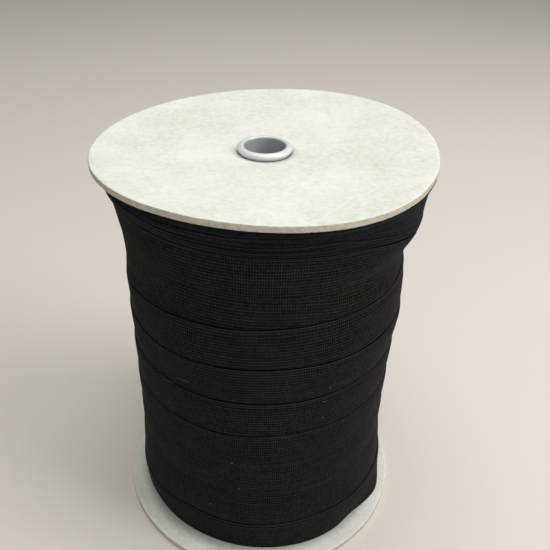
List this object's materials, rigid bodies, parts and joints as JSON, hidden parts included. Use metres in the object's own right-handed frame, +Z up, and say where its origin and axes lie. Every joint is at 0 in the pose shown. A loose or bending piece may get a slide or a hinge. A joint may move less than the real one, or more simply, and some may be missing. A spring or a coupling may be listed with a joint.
{
  "type": "reel of elastic",
  "caption": "Reel of flat black woven elastic, wound in overlapping laps on a plastic tube between round board flanges, with a bore through its middle.",
  "frame": {"origin": "middle of the bottom flange's flat rim, where the reel stands", "axes": "+Z up along the tube, -Y towards the viewer"},
  "size_m": [0.15, 0.15, 0.2025],
  "materials": {
    "grey_board": "matte pulp board",
    "white_plastic": "glossy",
    "black_elastic": "woven, matte"
  },
  "bodies": {
    "root": {"flange_bottom": "grey_board", "flange_top": "grey_board", "core_tube": "white_plastic", "elastic_winding": "black_elastic"}
  },
  "joints": []
}
